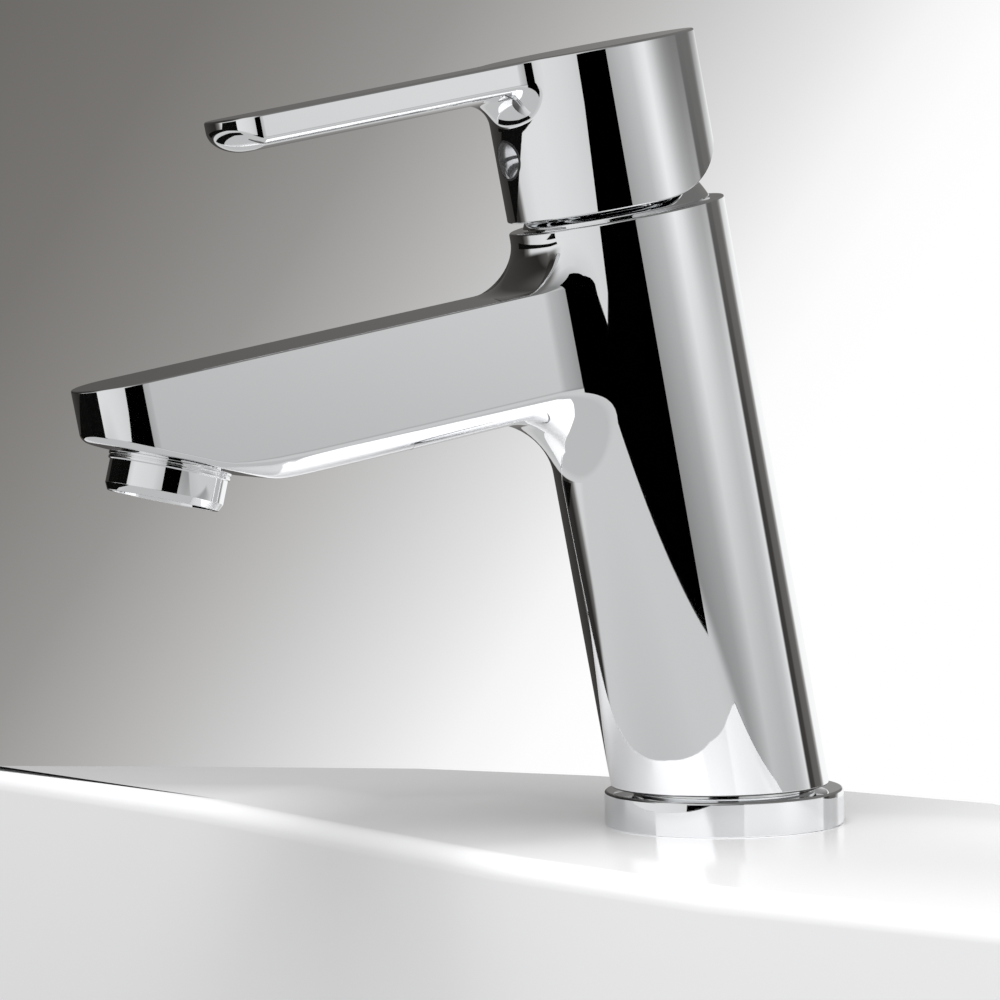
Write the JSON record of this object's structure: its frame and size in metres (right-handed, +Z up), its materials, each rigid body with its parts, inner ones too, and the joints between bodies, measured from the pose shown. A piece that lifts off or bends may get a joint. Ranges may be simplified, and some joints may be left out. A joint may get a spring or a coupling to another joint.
{
  "type": "basin mixer faucet",
  "caption": "Single-lever basin mixer faucet: leaning round column on a base ring, flat-topped spout with an aerator, round cap with a blade lever, ceramic cartridge and deck clamp.",
  "frame": {"origin": "on the basin deck's top face, at the centre of the base ring's underside", "axes": "+Z up from the deck, -Y the way the spout points, +X to the spout's left seen from the basin; the shape is mirror symmetric about X = 0 apart from the aerator's key notches"},
  "size_m": [0.0512, 0.1697, 0.2314],
  "materials": {
    "chrome": "polished chrome plate on cast brass",
    "brass": "machined",
    "steel": "zinc plated",
    "ceramic": "lapped alumina",
    "rubber": "matt moulded",
    "white_plastic": "moulded",
    "grey_plastic": "moulded",
    "clear_plastic": "polished"
  },
  "bodies": {
    "root": {"faucet_body": "chrome", "base_ring": "chrome", "base_gasket": "rubber", "fixing_stud": "steel", "rubber_clamp_washer": "rubber", "steel_clamp_plate": "steel", "fixing_nut": "brass", "cartridge_housing": "white_plastic", "cartridge_base": "grey_plastic", "hot_port_seal": "rubber", "cold_port_seal": "rubber", "mixed_port_seal": "rubber", "fixed_ceramic_disc": "ceramic", "retaining_nut": "brass", "dome_collar": "chrome", "aerator_housing": "chrome", "aerator_insert": "white_plastic", "aerator_screen": "steel", "aerator_washer": "rubber"},
    "turn": {"spindle_guide": "white_plastic", "pivot_pin": "steel"},
    "lever": {"handle": "chrome", "handle_screw": "steel", "indicator_button": "clear_plastic", "lever_spindle": "brass"},
    "disc": {"moving_ceramic_disc": "ceramic", "disc_carrier": "grey_plastic"}
  },
  "joints": [
    {"name": "handle_turn", "type": "hinge", "parent": "root", "child": "turn", "pos_m": [0, -0.02198, 0.12244], "axis": [0, -0.1814, 0.9834], "range_deg": [-45, 45]},
    {"name": "handle_lift", "type": "hinge", "parent": "turn", "child": "lever", "pos_m": [0, -0.02198, 0.12244], "axis": [-1, 0, 0], "range_deg": [0, 20]},
    {"name": "disc_slide", "type": "slide", "parent": "turn", "child": "disc", "axis": [0, -0.9834, -0.1814], "range_m": [0, 0.0022]}
  ],
  "couplings": [
    {"joint": "disc_slide", "follows": "handle_lift", "m_per_rad": 0.0062}
  ]
}
